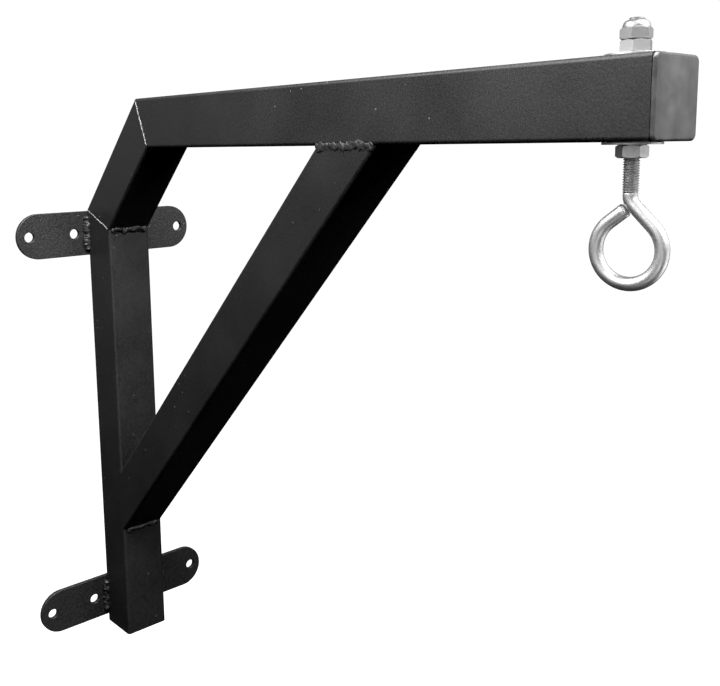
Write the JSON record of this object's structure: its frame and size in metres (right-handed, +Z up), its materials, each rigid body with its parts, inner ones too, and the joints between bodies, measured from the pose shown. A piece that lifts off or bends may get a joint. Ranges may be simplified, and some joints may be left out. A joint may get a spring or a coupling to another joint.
{
  "type": "punch bag wall bracket",
  "caption": "Welded square-tube wall bracket with a sloping knee and a diagonal brace, wall straps, and an adjustable eye bolt that a bag hangs from.",
  "frame": {"origin": "on the wall face, at the centre of the eight fixing holes", "axes": "+X out from the wall along the arm, +Z up, +Y to the side"},
  "size_m": [0.695, 0.216, 0.6393],
  "materials": {
    "tube_powder_coat": "satin black powder coat",
    "strap_powder_coat": "fine-textured black powder coat",
    "weld_powder_coat": "satin black powder coat over rough weld",
    "cap_polyethylene": "black moulded polyethylene, fine grain",
    "bolt_zinc": "bright zinc plate",
    "washer_zinc": "bright zinc plate",
    "nut_zinc": "bright zinc plate",
    "ring_nylon": "natural nylon"
  },
  "bodies": {
    "root": {"post_tube": "tube_powder_coat", "knee_tube": "tube_powder_coat", "arm_tube": "tube_powder_coat", "brace_tube": "tube_powder_coat", "upper_strap": "strap_powder_coat", "lower_strap": "strap_powder_coat", "post_knee_weld": "weld_powder_coat", "knee_arm_weld": "weld_powder_coat", "brace_arm_weld_back": "weld_powder_coat", "brace_arm_weld_front": "weld_powder_coat", "brace_arm_weld_left": "weld_powder_coat", "brace_arm_weld_right": "weld_powder_coat", "brace_post_weld_upper": "weld_powder_coat", "brace_post_weld_lower": "weld_powder_coat", "upper_strap_weld_left": "weld_powder_coat", "upper_strap_weld_right": "weld_powder_coat", "lower_strap_weld_left": "weld_powder_coat", "lower_strap_weld_right": "weld_powder_coat", "arm_end_cap": "cap_polyethylene"},
    "swivel": {"lower_washer": "washer_zinc", "upper_washer": "washer_zinc"},
    "nuts": {"lower_hex_nut": "nut_zinc", "upper_hex_nut": "nut_zinc", "lock_nut": "nut_zinc", "lock_nut_ring": "ring_nylon"},
    "eye_bolt": {"eye_bolt": "bolt_zinc"}
  },
  "joints": [
    {"name": "eye_swivel", "type": "hinge", "parent": "root", "child": "swivel", "pos_m": [0.6675, 0, 0.34], "axis": [0, 0, 1], "continuous": true},
    {"name": "nut_turn", "type": "hinge", "parent": "swivel", "child": "nuts", "pos_m": [0.6675, 0, 0.34], "axis": [0, 0, 1], "range_deg": [-4801, 601]},
    {"name": "eye_height", "type": "slide", "parent": "swivel", "child": "eye_bolt", "axis": [0, 0, 1], "range_m": [-0.0025, 0.02]}
  ],
  "couplings": [
    {"joint": "nut_turn", "follows": "eye_height", "rad_per_m": -4188.8}
  ]
}
